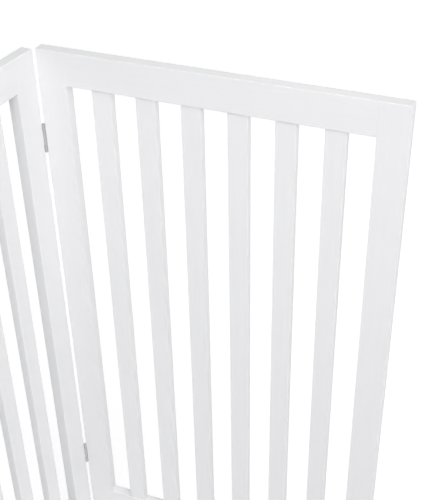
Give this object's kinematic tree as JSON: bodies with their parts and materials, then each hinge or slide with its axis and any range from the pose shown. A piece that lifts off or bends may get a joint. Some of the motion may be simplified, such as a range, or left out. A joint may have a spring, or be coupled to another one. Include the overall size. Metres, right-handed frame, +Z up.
{
  "type": "pet gate",
  "caption": "Free-standing folding pet gate of slatted, painted wooden panels joined by butt hinges, so that it stands in a zigzag and folds flat.",
  "frame": {"origin": "on the floor under the middle of the middle panel", "axes": "+X along the two end panels, towards the free end of the right one; +Y horizontal, towards the back of the right panel; +Z up"},
  "size_m": [1.0922, 0.543, 0.914],
  "materials": {
    "painted_wood": "satin white paint over smooth wood",
    "dowel_wood": "bare beech",
    "hinge_steel": "zinc plated, satin",
    "screw_steel": "zinc plated, satin",
    "foot_rubber": "matte"
  },
  "bodies": {
    "middle_panel": {"middle_right_stile": "painted_wood", "middle_left_stile": "painted_wood", "middle_top_rail": "painted_wood", "middle_bottom_rail": "painted_wood", "middle_slat_1": "painted_wood", "middle_slat_2": "painted_wood", "middle_slat_3": "painted_wood", "middle_slat_4": "painted_wood", "middle_slat_5": "painted_wood", "middle_slat_6": "painted_wood", "middle_dowels": "dowel_wood", "middle_right_foot_pad": "foot_rubber", "middle_left_foot_pad": "foot_rubber", "right_upper_hinge_middle_leaf": "hinge_steel", "right_upper_hinge_pin": "screw_steel", "right_upper_hinge_middle_screws": "screw_steel", "right_lower_hinge_middle_leaf": "hinge_steel", "right_lower_hinge_pin": "screw_steel", "right_lower_hinge_middle_screws": "screw_steel", "left_upper_hinge_middle_leaf": "hinge_steel", "left_upper_hinge_pin": "screw_steel", "left_upper_hinge_middle_screws": "screw_steel", "left_lower_hinge_middle_leaf": "hinge_steel", "left_lower_hinge_pin": "screw_steel", "left_lower_hinge_middle_screws": "screw_steel"},
    "right_panel": {"right_inner_stile": "painted_wood", "right_outer_stile": "painted_wood", "right_top_rail": "painted_wood", "right_bottom_rail": "painted_wood", "right_slat_1": "painted_wood", "right_slat_2": "painted_wood", "right_slat_3": "painted_wood", "right_slat_4": "painted_wood", "right_slat_5": "painted_wood", "right_slat_6": "painted_wood", "right_dowels": "dowel_wood", "right_inner_foot_pad": "foot_rubber", "right_outer_foot_pad": "foot_rubber", "right_upper_hinge_end_leaf": "hinge_steel", "right_upper_hinge_end_screws": "screw_steel", "right_lower_hinge_end_leaf": "hinge_steel", "right_lower_hinge_end_screws": "screw_steel"},
    "left_panel": {"left_inner_stile": "painted_wood", "left_outer_stile": "painted_wood", "left_top_rail": "painted_wood", "left_bottom_rail": "painted_wood", "left_slat_1": "painted_wood", "left_slat_2": "painted_wood", "left_slat_3": "painted_wood", "left_slat_4": "painted_wood", "left_slat_5": "painted_wood", "left_slat_6": "painted_wood", "left_dowels": "dowel_wood", "left_inner_foot_pad": "foot_rubber", "left_outer_foot_pad": "foot_rubber", "left_upper_hinge_end_leaf": "hinge_steel", "left_upper_hinge_end_screws": "screw_steel", "left_lower_hinge_end_leaf": "hinge_steel", "left_lower_hinge_end_screws": "screw_steel"}
  },
  "joints": [
    {"name": "right_panel_fold", "type": "hinge", "parent": "middle_panel", "child": "right_panel", "pos_m": [0.03646, 0.25317, 0.457], "axis": [0, 0, 1], "range_deg": [-96, 84]},
    {"name": "left_panel_fold", "type": "hinge", "parent": "middle_panel", "child": "left_panel", "pos_m": [-0.03646, -0.25317, 0.457], "axis": [0, 0, 1], "range_deg": [-96, 84]}
  ]
}
